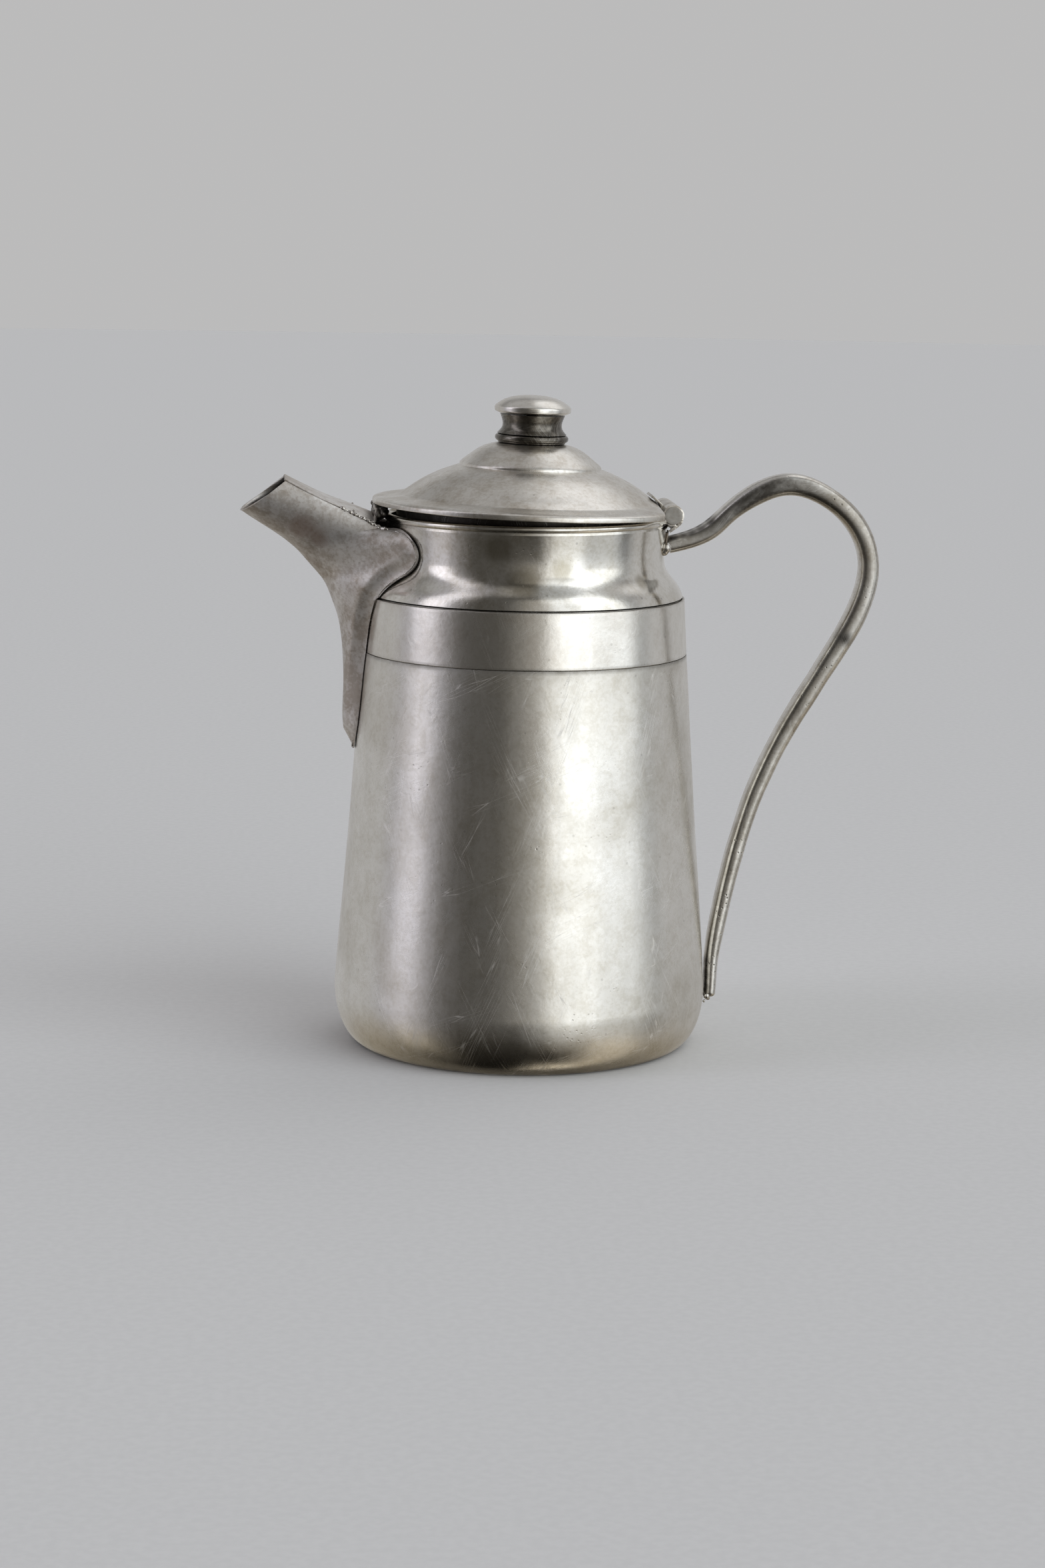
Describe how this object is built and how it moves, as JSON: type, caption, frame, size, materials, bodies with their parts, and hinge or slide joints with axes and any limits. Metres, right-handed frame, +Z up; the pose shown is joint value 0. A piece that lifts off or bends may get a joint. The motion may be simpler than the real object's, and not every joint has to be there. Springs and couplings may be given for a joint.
{
  "type": "coffee pot",
  "caption": "Tapered silver coffee pot with a plain band, flared neck, soldered pouring spout, strap handle and hinged domed lid with a turned knob.",
  "frame": {"origin": "centre of the flat base, on the surface the pot stands on", "axes": "+Z up, -X towards the spout, +X towards the handle, Y along the lid's hinge"},
  "size_m": [0.2042, 0.1196, 0.2076],
  "materials": {
    "body_silver": "worn satin silver plate with fine scratches and warm tarnish",
    "band_silver": "worn satin silver plate",
    "neck_silver": "worn satin silver plate",
    "spout_silver": "dull silver plate with brown tarnish",
    "handle_silver": "polished and worn silver plate with pits",
    "hinge_silver": "worn silver plate",
    "lid_silver": "soft satin silver plate",
    "tarnished_silver": "dark tarnished silver",
    "fixing_steel": "dull fixing metal"
  },
  "bodies": {
    "pot": {"body_shell": "body_silver", "neck_band": "band_silver", "neck_shell": "neck_silver", "rim_wire": "neck_silver", "spout_shell": "spout_silver", "spout_roof": "spout_silver", "handle_saddle": "tarnished_silver", "handle_bar": "handle_silver", "hinge_leaf_body": "hinge_silver", "hinge_pin": "tarnished_silver"},
    "lid": {"lid_shell": "lid_silver", "lid_bezel": "lid_silver", "hinge_leaf_lid": "hinge_silver", "knob_collar": "tarnished_silver", "knob_spool": "tarnished_silver", "knob_cap": "lid_silver", "knob_stud": "fixing_steel", "knob_washer": "fixing_steel", "knob_nut": "fixing_steel"}
  },
  "joints": [
    {"name": "lid_hinge", "type": "hinge", "parent": "pot", "child": "lid", "pos_m": [0.0452, 0, 0.1711], "axis": [0, 1, 0], "range_deg": [0, 110]}
  ]
}
